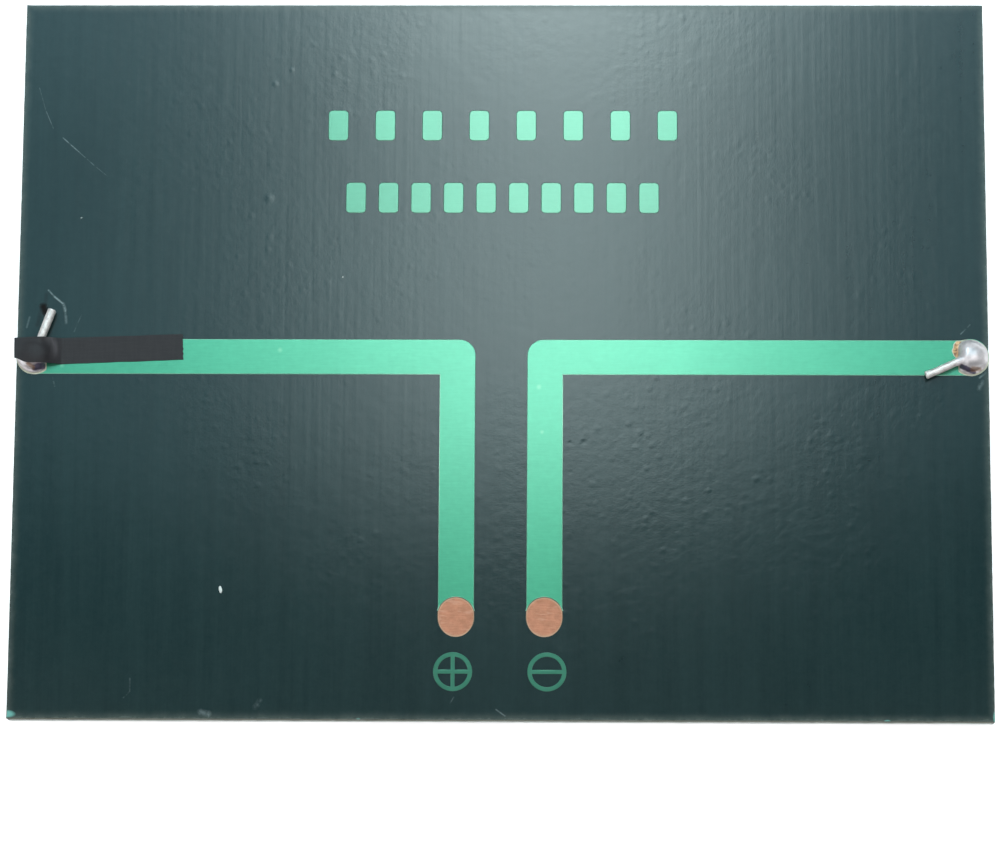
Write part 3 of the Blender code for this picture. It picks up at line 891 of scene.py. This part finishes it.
def make_traces(film_material, copper_material):
    for name in SIDES:
        copper_low = box_mm(f"copper_trace_{name}")[0].z
        copper_top = FILM_TOP - COPPER_BELOW_FILM
        copper = film_shape([trace_outline(name, 0.0, False)], copper_low, copper_top, COPPER_ROUND)
        keep_shape(
            f"copper_trace_{name}_metal", copper, copper_material, "bare_copper",
            replaces=[f"copper_trace_{name}"], flat_faces=True,
        )
        outline = trace_outline(name, FILM_CREEP, True)
        film = film_over([outline, land_outline(name, 0.0)])
        over_copper(f"lacquer_over_trace_{name}", [film], film_material)


def mark_outlines(name):
    """The ring of a polarity mark and the openings inside it."""
    low, high = box_mm(f"polarity_mark_{name}")
    centre = ((low.x + high.x) / 2, (low.y + high.y) / 2)
    outer = (high.x - low.x) / 2
    inner = outer - MARK_RING
    edge = MARK_BAR / 2
    clear = math.degrees(math.asin(edge / inner))
    outlines = [circle(centre, outer)]
    quarter_turns = (0.0, 90.0, 180.0, 270.0) if name == "plus" else (0.0, 180.0)
    span = 90.0 if name == "plus" else 180.0
    for turn in quarter_turns:
        points = arc(centre, inner, turn + clear, turn + span - clear, 24)
        if name == "plus":
            corner = math.radians(turn + 45.0)
            reach = edge * math.sqrt(2.0)
            points.append((centre[0] + reach * math.cos(corner), centre[1] + reach * math.sin(corner)))
        outlines.append(points)
    return outlines


def make_marks(material):
    for name in ("plus", "minus"):
        over_copper(f"lacquer_over_{name}", [film_over(mark_outlines(name), MARK_ROUND)], material)


def bar_outline(low, high):
    """A rounded bar, drawn about its own middle."""
    half_x = (high.x - low.x) / 2 - BAR_CORNER
    half_y = (high.y - low.y) / 2 - BAR_CORNER
    corners = ((half_x, half_y), (-half_x, half_y), (-half_x, -half_y), (half_x, -half_y))
    outline = []
    for quarter, (x, y) in enumerate(corners):
        outline += arc((x, y), BAR_CORNER, 90.0 * quarter, 90.0 * quarter + 90.0, 6)
    return outline


def sawn_slab(name, low, high, levels, depth, seed, material, slot, replaces):
    """A slab whose sawn sides are roughened level by level, between flat faces."""
    walk = edge_walk(low, high, EDGE_STEP)
    shape = bmesh.new()
    rings = []
    for level in range(levels + 1):
        z = low.z + (high.z - low.z) * level / levels
        ring = []
        for (x, y), (in_x, in_y) in walk:
            tear = noise.noise(Vector((x * 1.3, y * 1.3, z * 2.5 + seed))) * 0.5 + 0.5
            inward = depth * tear
            ring.append(shape.verts.new((x + in_x * inward, y + in_y * inward, z)))
        rings.append(ring)
    skin(shape, rings)
    keep_shape(name, shape, material, slot, replaces=replaces, flat_faces=True)


# ---------------------------------------------------------------- solder, wires and flux


def wire_tip(name):
    """End of the wire's middle line, from the box of its solid."""
    low, high = box_mm(f"terminal_wire_{name}")
    heading = math.radians(HEADINGS[name])
    along = Vector((math.cos(heading), math.sin(heading), 0.0))
    x = high.x - WIRE_RADIUS * abs(along.y) if along.x > 0 else low.x + WIRE_RADIUS * abs(along.y)
    y = high.y - WIRE_RADIUS * abs(along.x) if along.y > 0 else low.y + WIRE_RADIUS * abs(along.x)
    return Vector((x, y, high.z - WIRE_RADIUS)), along


def tube(points, radii, flats, steps=20):
    """A closed tube through the points, each ring with its own radius and its own flattening."""
    shape = bmesh.new()
    rings = []
    for index, point in enumerate(points):
        before = points[max(index - 1, 0)]
        after = points[min(index + 1, len(points) - 1)]
        along = (after - before).normalized()
        across = along.cross(Vector((0.0, 0.0, 1.0)))
        across = across.normalized() if across.length > 1e-6 else Vector((1.0, 0.0, 0.0))
        upward = across.cross(along).normalized()
        ring = []
        for step in range(steps):
            angle = 2.0 * math.pi * step / steps
            offset = across * (math.cos(angle) * radii[index])
            offset += upward * (math.sin(angle) * radii[index] * flats[index])
            ring.append(shape.verts.new(point + offset))
        rings.append(ring)
    skin(shape, rings)
    return shape


def make_wire(name, material, girth, flare, nip, bow):
    """The bent wire end, thick with solder, and pinched flat where cutters nipped it."""
    tip, along = wire_tip(name)
    foot = terminal(name)
    inner = Vector((foot.x, foot.y, tip.z))
    length = (tip - inner).length
    side = along.cross(Vector((0.0, 0.0, 1.0)))
    count = 44
    points, radii, flats = [], [], []
    for step in range(count + 1):
        share = step / count
        sag = math.sin(share * math.pi) * 0.05
        sway = bow * math.sin(share * 5.0 + 1.0)
        points.append(inner + along * (length * share) + Vector((0.0, 0.0, sag)) + side * sway)
        lump = noise.noise(Vector((share * 7.0, SIDES[name] * 3.0, 0.0)))
        near_tip = max(0.0, (share - 0.88) / 0.12)
        radii.append(girth * (1.0 + 0.07 * lump + flare * share + nip * near_tip))
        flats.append(1.0 - 1.8 * near_tip * nip)
    shape = tube(points, radii, flats, 28)
    for vert in shape.verts:
        dent = noise.noise(vert.co * 2.6) * 0.028
        vert.co.z += dent
    rim = [edge for edge in shape.edges if any(len(face.verts) > 4 for face in edge.link_faces)]
    bmesh.ops.bevel(shape, geom=rim, offset=0.08, segments=3, affect="EDGES")
    keep_shape(
        f"wire_end_{name}", shape, material, "tinned_wire",
        replaces=[f"terminal_wire_{name}"], smooth_angle=60.0,
    )


def dome(shape, centre, reach_in, reach_out, reach_y, height, side):
    """An egg of solder standing in the land, with its own reach towards the trace and towards the edge."""
    made = bmesh.ops.create_uvsphere(shape, u_segments=48, v_segments=32, radius=1.0)
    for vert in made["verts"]:
        reach = reach_out if vert.co.x * side > 0.0 else reach_in
        vert.co = Vector((vert.co.x * reach, vert.co.y * reach_y, vert.co.z * height)) + Vector(centre)


def make_joint(name, material):
    """Solder that fills its land and has run up the wire, made by melting simple shapes together."""
    side = SIDES[name]
    foot = terminal(name)
    low, high = box_mm(f"solder_joint_{name}")
    height = high.z - low.z
    tip, along = wire_tip(name)
    pool = bmesh.new()
    outline = land_outline(name, -0.01)
    skin(pool, [[pool.verts.new((x, y, foot.z + rise)) for x, y in outline] for rise in (-0.5, 0.42)])
    ridge = foot.x - side * 0.36
    dome(pool, (ridge, foot.y + 0.14, foot.z + 0.22), 1.02, 2.38, 1.86, height - 0.22, side)
    dome(pool, (foot.x - side * 0.55, foot.y + 0.95, foot.z + 0.15), 0.82, 0.82, 1.02, height * 0.60, side)
    collar_points, collar_radii = [], []
    inner = Vector((foot.x, foot.y, tip.z))
    for step in range(14):
        share = step / 13
        collar_points.append(inner + along * (0.5 + share * 1.7))
        collar_radii.append(WIRE_RADIUS * (2.0 - 1.0 * share**0.6))
    collar = tube(collar_points, collar_radii, [1.0] * 14)
    for part in (pool, collar):
        bmesh.ops.recalc_face_normals(part, faces=part.faces)
    obj = put("molten", closed("molten", joined([pool, collar])))
    remesh = obj.modifiers.new("Melt", "REMESH")
    remesh.mode = "VOXEL"
    remesh.voxel_size = SOLDER_VOXEL
    smooth = obj.modifiers.new("Surface tension", "SMOOTH")
    smooth.factor = 0.5
    smooth.iterations = 12
    shape = opened(evaluated_mesh(obj))
    cut = bmesh.ops.bisect_plane(
        shape, geom=shape.verts[:] + shape.edges[:] + shape.faces[:], dist=1e-5,
        plane_co=(0.0, 0.0, foot.z), plane_no=(0.0, 0.0, -1.0), clear_outer=True,
    )
    rim = [item for item in cut["geom_cut"] if isinstance(item, bmesh.types.BMEdge)]
    bmesh.ops.holes_fill(shape, edges=rim, sides=0)
    keep_shape(
        f"solder_ball_{name}", shape, material, "bright_solder",
        replaces=[f"solder_joint_{name}"], smooth_angle=70.0,
    )


def land_reach(name, angle):
    """Distance from the joint's middle to the edge of its land, in a direction."""
    facing = -SIDES[name] * math.cos(angle)
    return min(LAND_RADIUS, LAND_CUT / facing) if facing > 0.05 else LAND_RADIUS


def make_flux(name, material, pools, seed):
    """A skirt of flux round the joint, thin as a rim and wide where it pooled."""
    foot = terminal(name)
    middle_x = foot.x + SIDES[name] * 0.1
    middle_y = foot.y + 0.08
    around, across = 180, 9
    shape = bmesh.new()
    pooled = shape.verts.layers.float.new("pooled")
    upper, lower = [], []
    for step in range(around):
        angle = 2.0 * math.pi * step / around
        wander = noise.noise(Vector((math.cos(angle) * 4.0, math.sin(angle) * 4.0, seed)))
        wide = 0.0
        for direction, extra, width in pools:
            turn = (math.degrees(angle) - direction + 180.0) % 360.0 - 180.0
            wide += extra * math.exp(-((turn / width) ** 2))
        spread = 0.10 - 0.06 * math.sin(angle) + 0.04 * wander + wide * (1.0 + 0.12 * wander)
        inner = land_reach(name, angle) - 0.22
        top_row, low_row = [], []
        for ring in range(across + 1):
            share = ring / across
            radius = inner + (spread + 0.22) * share
            x = middle_x + radius * math.cos(angle)
            y = middle_y + radius * math.sin(angle)
            x = max(min(x, BOARD_HIGH.x - 0.02), BOARD_LOW.x + 0.02)
            swell = 0.10 * math.sin(math.pi * min(1.0, share * 1.05)) * (0.6 + wide)
            swell += 0.22 * (1.0 - share) ** 3
            top = shape.verts.new((x, y, FILM_TOP + OVER_COPPER_RISE + 0.006 + swell))
            top[pooled] = min(1.0, wide * 2.0) * (1.0 - share**5)
            top_row.append(top)
            low_row.append(shape.verts.new((x, y, FILM_TOP - 0.02)))
        upper.append(top_row)
        lower.append(low_row)
    shell(shape, upper + upper[:1], lower + lower[:1])
    keep_shape(f"flux_skirt_{name}", shape, material, "bright_solder", smooth_angle=60.0)


# ---------------------------------------------------------------- tape


def tape_heights(places):
    """Lets the strip settle: it hangs straight between what it touches, and sticks to the board."""
    foot = terminal("positive")
    low, high = box_mm("solder_joint_positive")
    reach = (high.x - low.x) / 2 + 0.06
    height = high.z - FILM_TOP + 0.03
    tip = wire_tip("positive")[0]
    x, y = places[..., 0], places[..., 1]
    squared = ((x - foot.x) ** 2 + (y - foot.y) ** 2) / reach**2
    under = height * np.sqrt(np.clip(1.0 - squared**1.25, 0.0, None))
    run_x, run_y = tip.x - foot.x, tip.y - foot.y
    share = np.clip(((x - foot.x) * run_x + (y - foot.y) * run_y) / (run_x**2 + run_y**2), 0.0, 1.0)
    off = np.hypot(x - foot.x - share * run_x, y - foot.y - share * run_y)
    wire = np.sqrt(np.clip((WIRE_RADIUS + 0.06) ** 2 - off**2, 0.0, None))
    wire_top = np.where(off < WIRE_RADIUS + 0.06, tip.z - FILM_TOP + wire, 0.0)
    under = np.maximum(np.maximum(under, wire_top), 0.0)
    settled = under.copy()
    stuck = (x - foot.x) > TAPE_STUCK_BEYOND
    for _ in range(TAPE_STEPS):
        padded = np.pad(settled, 1, mode="edge")
        along_strip = (padded[2:, 1:-1] + padded[:-2, 1:-1]) / 2
        across_strip = (padded[1:-1, 2:] + padded[1:-1, :-2]) / 2
        relaxed = TAPE_STIFF_ALONG * along_strip + (1.0 - TAPE_STIFF_ALONG) * across_strip
        settled = np.maximum(under, relaxed - TAPE_SAG)
        settled[stuck] = 0.0
    return settled


def make_tape(material):
    """The strip over the positive joint, cut straight at one end and pulled in at the other."""
    low, high = box_mm("insulating_tape")
    tilt = math.radians(TAPE_TILT)
    along = np.array((math.cos(tilt), math.sin(tilt)))
    across = np.array((-math.sin(tilt), math.cos(tilt)))
    start = np.array((low.x + 0.10, low.y + TAPE_WIDTH / 2 * math.cos(tilt)))
    length = (high.x - low.x - 0.14) / math.cos(tilt)
    columns = round(length / TAPE_CELL)
    rows = round(TAPE_WIDTH / TAPE_CELL)
    places = np.zeros((columns + 1, rows + 1, 2))
    for column in range(columns + 1):
        share = column / columns
        waver = 0.035 * noise.noise(Vector((share * 9.0, 0.0, 1.0)))
        pulled_in = 0.62 * math.exp(-((share / 0.050) ** 2))
        for row in range(rows + 1):
            rise = row / rows
            offset = (rise - 0.5) * TAPE_WIDTH + waver
            offset += pulled_in * (1.0 - rise) + 0.06 * rise * (1.0 - share)
            slip = 0.0
            if share > 0.93:
                slip = 0.10 * noise.noise(Vector((row * 0.55, 2.0, 5.0))) * (share - 0.93) / 0.07
            places[column, row] = start + along * (length * share + slip) + across * offset
    heights = tape_heights(places)
    shape = bmesh.new()
    tops, unders = [], []
    for column in range(columns + 1):
        top_row, under_row = [], []
        for row in range(rows + 1):
            x, y = places[column, row]
            ripple = 0.012 * noise.noise(Vector((x * 0.9, y * 0.9, 4.0)))
            base = FILM_TOP + OVER_COPPER_RISE + heights[column, row] + 0.004
            top_row.append(shape.verts.new((x, y, base + TAPE_THICKNESS - 0.03 + ripple)))
            under_row.append(shape.verts.new((x, y, base)))
        tops.append(top_row)
        unders.append(under_row)
    shell(shape, tops, unders)
    keep_shape("tape_strip", shape, material, "black_tape", replaces=["insulating_tape"], smooth_angle=50.0)


# ---------------------------------------------------------------- repeated small things, by geometry nodes


class Tree:
    """A geometry node tree with named inputs, built node by node."""

    def __init__(self, name, inputs):
        self.tree = bpy.data.node_groups.new(name, "GeometryNodeTree")
        for label, (kind, value) in inputs.items():
            socket = self.tree.interface.new_socket(label, in_out="INPUT", socket_type=kind)
            if value is not None:
                socket.default_value = value
        self.tree.interface.new_socket("Geometry", in_out="OUTPUT", socket_type="NodeSocketGeometry")
        self.group_in = self.tree.nodes.new("NodeGroupInput")
        self.group_out = self.tree.nodes.new("NodeGroupOutput")

    def given(self, label):
        return self.group_in.outputs[label]

    def fill(self, socket, value):
        if isinstance(value, bpy.types.NodeSocket):
            self.tree.links.new(value, socket)
        else:
            socket.default_value = value

    def node(self, kind, inputs):
        return add_node(self.tree, kind, None, inputs, self.fill).outputs[0]

    def finish(self, geometry, material):
        real = self.node("GeometryNodeRealizeInstances", {0: geometry})
        done = self.node("GeometryNodeSetMaterial", {0: real, "Material": material})
        self.tree.links.new(done, self.group_out.inputs[0])

    def mesh(self, carrier_mesh, values):
        """Runs the tree on a mesh and returns the plain mesh that it makes."""
        carrier = put("carrier", carrier_mesh)
        modifier = carrier.modifiers.new("Repeat", "NODES")
        modifier.node_group = self.tree
        for item in self.tree.interface.items_tree:
            if item.in_out == "INPUT" and item.name in values:
                modifier[item.identifier] = values[item.name]
        return evaluated_mesh(carrier)


def row_tree(material):
    """A row of copies of the given shape along X."""
    tree = Tree("row_of_bars", {
        "Geometry": ("NodeSocketGeometry", None),
        "Count": ("NodeSocketInt", 8),
        "Pitch": ("NodeSocketFloat", 5.0),
    })
    step = tree.node("ShaderNodeCombineXYZ", {0: tree.given("Pitch")})
    line = tree.node("GeometryNodeMeshLine", {"Count": tree.given("Count"), "Offset": step})
    bar = tree.given("Geometry")
    row = tree.node("GeometryNodeInstanceOnPoints", {"Points": line, "Instance": bar})
    tree.finish(row, material)
    return tree


def make_bars(material):
    """The raised lacquer over the two rows of plain bars."""
    rows = {}
    for node in sorted(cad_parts):
        if node.startswith("marking_bar"):
            rows.setdefault(node.rsplit("_", 1)[0], []).append(box_mm(node))
    tree = row_tree(material)
    for number, boxes in enumerate(rows.values(), start=1):
        middles = sorted(((box[0] + box[1]) / 2 for box in boxes), key=lambda middle: middle.x)
        (low, high), first = boxes[0], middles[0]
        bar = closed("bar", film_over([bar_outline(low, high)]))
        pitch = (middles[-1].x - first.x) / (len(boxes) - 1)
        mesh = tree.mesh(bar, {"Count": len(boxes), "Pitch": pitch})
        mesh.transform(Matrix.Translation((first.x, first.y, 0.0)))
        keep_mesh(f"lacquer_over_bars_{number}", mesh, material, "green_solder_mask", flat_faces=True)


def finger_tree(material):
    """Thin printed fingers across each cell, set out on a line of points down the strip."""
    tree = Tree("printed_fingers", {
        "Geometry": ("NodeSocketGeometry", None),
        "Cell count": ("NodeSocketInt", 12),
        "Cell pitch": ("NodeSocketFloat", 8.8),
        "Finger count": ("NodeSocketInt", 30),
        "Finger pitch": ("NodeSocketFloat", 2.5),
        "Finger length": ("NodeSocketFloat", 7.6),
        "Finger width": ("NodeSocketFloat", 0.12),
        "Finger thickness": ("NodeSocketFloat", 0.012),
    })
    size = tree.node("ShaderNodeCombineXYZ", {
        0: tree.given("Finger length"), 1: tree.given("Finger width"), 2: tree.given("Finger thickness"),
    })
    finger = tree.node("GeometryNodeMeshCube", {"Size": size})
    step_y = tree.node("ShaderNodeCombineXYZ", {1: tree.given("Finger pitch")})
    count = tree.given("Finger count")
    column = tree.node("GeometryNodeMeshLine", {"Count": count, "Offset": step_y})
    strip = tree.node("GeometryNodeInstanceOnPoints", {"Points": column, "Instance": finger})
    step_x = tree.node("ShaderNodeCombineXYZ", {0: tree.given("Cell pitch")})
    row = tree.node("GeometryNodeMeshLine", {"Count": tree.given("Cell count"), "Offset": step_x})
    sheet = tree.node("GeometryNodeInstanceOnPoints", {"Points": row, "Instance": strip})
    tree.finish(sheet, material)
    return tree


def make_fingers(material):
    low, high = box_mm("cell_01")
    last = box_mm("cell_12")
    pitch = (last[0].x - low.x) / 11
    count = 31
    finger_pitch = (high.y - low.y - 2.0) / (count - 1)
    tree = finger_tree(material)
    mesh = tree.mesh(bpy.data.meshes.new("start"), {
        "Cell count": 12, "Cell pitch": pitch, "Finger count": count, "Finger pitch": finger_pitch,
        "Finger length": high.x - low.x - 0.5,
    })
    # The fingers stand on the light-facing side of the cells, just inside the clearance to the ribbons.
    middle = Vector(((low.x + high.x) / 2, low.y + 1.0, low.z - 0.004))
    mesh.transform(Matrix.Translation(middle))
    keep_mesh("printed_fingers", mesh, material, "silicon_cell")


def make_specks(material):
    """A few grains of pale dust on the lacquer."""
    rng = random.Random(5)
    shapes = []
    for x, y, length, turn in DUST:
        grain = bmesh.new()
        place = Matrix.Translation((x, y, FILM_TOP + 0.04)) @ Matrix.Rotation(math.radians(turn), 4, "Z")
        place = place @ Matrix.Diagonal((length, length * 0.42, 0.09, 1.0))
        bmesh.ops.create_icosphere(grain, subdivisions=3, radius=1.0, matrix=place)
        for vert in grain.verts:
            vert.co.x += rng.uniform(-0.02, 0.02)
            vert.co.y += rng.uniform(-0.02, 0.02)
        shapes.append(grain)
    keep_shape("dust_grains", joined(shapes), material, "green_solder_mask", smooth_angle=80.0)


# ---------------------------------------------------------------- stage, light and camera


def softbox_glow():
    """Hot along its middle, dim at its sides, and fading out towards the near edge."""
    graph = Graph("softbox_glow")
    middle = ((graph.x - SOFTBOX_CENTRE) / SOFTBOX_SPREAD) ** 2.0
    across = (0.0 - middle).maths("EXPONENT")
    rise = graph.node(
        "ShaderNodeMapRange", {"interpolation_type": "SMOOTHSTEP"},
        {0: graph.y - graph.x * SOFTBOX_SLANT, "From Min": SOFTBOX_FADE[0], "From Max": SOFTBOX_FADE[1]},
    )
    level = rise * (1.0 + graph.y.between(146.0, 176.0))
    hot = graph.vector("SCALE", SOFTBOX_HOT, Scale=across)
    both = graph.vector("ADD", hot, SOFTBOX_WINGS)
    glow = graph.vector("SCALE", both, Scale=level)
    return graph.finish((0.0, 0.0, 0.0), 1.0, Emission_Color=glow, Emission_Strength=1.0)


def make_softbox():
    shape = bmesh.new()
    corners = ((-0.4, 0.01), (0.4, 0.01), (0.4, 0.42), (-0.4, 0.42))
    shape.faces.new([shape.verts.new((x, y, SOFTBOX_HEIGHT)) for x, y in reversed(corners)])
    box = put("softbox", closed("softbox", shape))
    box.data.materials.append(softbox_glow())
    box.visible_camera = False


def make_fills():
    """Square area lights all round, aimed at the middle of the panel."""
    for index, (x, y, radiance) in enumerate(FILLS):
        light = bpy.data.lights.new(f"fill_{index}", "AREA")
        light.shape = "RECTANGLE"
        light.size = light.size_y = FILL_SIZE
        light.energy = radiance * math.pi * FILL_SIZE**2
        lamp = put(light.name, light)
        lamp.location = (x, y, FILL_HEIGHT)
        lamp.rotation_euler = (-lamp.location).to_track_quat("-Z", "Y").to_euler()


def make_world():
    world = bpy.data.worlds.new("studio")
    bpy.context.scene.world = world
    world.use_nodes = True
    world.node_tree.nodes["Background"].inputs["Color"].default_value = (1.0, 1.0, 1.0, 1.0)
    world.node_tree.nodes["Background"].inputs["Strength"].default_value = SKY


def make_floor(material):
    shape = bmesh.new()
    bmesh.ops.create_grid(shape, x_segments=8, y_segments=8, size=3.0)
    floor = put("floor", closed("floor", shape))
    floor.data.materials.append(material)
    floor.location.z = -FLOOR_GAP


def make_camera():
    camera = bpy.data.cameras.new("camera")
    camera.lens = CAMERA_LENS
    camera.sensor_width = 36.0
    camera.clip_start = 0.01
    tilt = math.radians(CAMERA_ELEVATION)
    turn = math.radians(CAMERA_TURN)
    roll = math.radians(CAMERA_ROLL)
    forward = Vector((math.sin(turn) * math.cos(tilt), math.cos(turn) * math.cos(tilt), -math.sin(tilt)))
    level = Vector((math.cos(turn), -math.sin(turn), 0.0))
    above = level.cross(forward)
    right = level * math.cos(roll) + above * math.sin(roll)
    up = above * math.cos(roll) - level * math.sin(roll)
    matrix = Matrix((right, up, -forward)).transposed().to_4x4()
    matrix.translation = CAMERA_PLACE
    holder = put("camera", camera)
    holder.matrix_world = matrix
    bpy.context.scene.camera = holder


def dress_nodes(prefix, material):
    """Gives the CAD nodes whose names start so their finish."""
    for name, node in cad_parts.items():
        if name.startswith(prefix):
            for slot in node.material_slots:
                slot.material = material


def main():
    make_camera()
    make_softbox()
    make_fills()
    make_world()
    bpy.context.scene.view_settings.view_transform = "Standard"
    copper = bare_copper()
    solder = solder_metal()
    wire = tinned_wire()
    flux = flux_resin()
    ribbon = tinned_ribbon()
    lacquer = lacquer_over_board()
    mint = lacquer_over_copper("lacquer_over_trace", (0.037, 0.272, 0.155), (0.056, 0.342, 0.198), 0.55)
    pale_mint = lacquer_over_copper("lacquer_over_bars", (0.034, 0.166, 0.097), (0.048, 0.206, 0.122), 0.15)
    deep_mint = lacquer_over_copper("lacquer_over_mark", (0.028, 0.160, 0.100), (0.038, 0.200, 0.124), 0.0)

    sawn_slab(
        "epoxy_block", EPOXY_LOW, EPOXY_HIGH, 5, EPOXY_RAGGED, 1.0,
        cast_epoxy(), "clear_epoxy", ["clear_encapsulant"],
    )
    sawn_slab(
        "board_core", BOARD_LOW, BOARD_HIGH, 8, BOARD_RAGGED, 2.0,
        board_laminate(), "glass_fibre_board", ["circuit_board"],
    )
    make_film(lacquer)
    make_traces(mint, copper)
    make_marks(deep_mint)
    make_bars(pale_mint)
    make_specks(dust_white())
    make_joint("positive", solder)
    make_joint("negative", solder)
    make_wire("positive", wire, 0.45, 0.14, 0.0, 0.0)
    make_wire("negative", wire, 0.43, 0.0, 0.14, 0.05)
    make_flux("positive", flux, ((30.0, 0.25, 25.0),), 1.0)
    make_flux("negative", flux, ((154.0, 0.80, 30.0),), 4.0)
    make_tape(vinyl_tape())
    make_fingers(finger_silver())
    dress_nodes("cell_", silicon())
    dress_nodes("cell_ribbon", ribbon)
    dress_nodes("string_lead", ribbon)
    dress_nodes("cell_adhesive", bonding_sheet())
    dress_nodes("polarity_mark", copper)
    dress_nodes("marking_bar", copper)
    make_floor(floor_paint())


main()
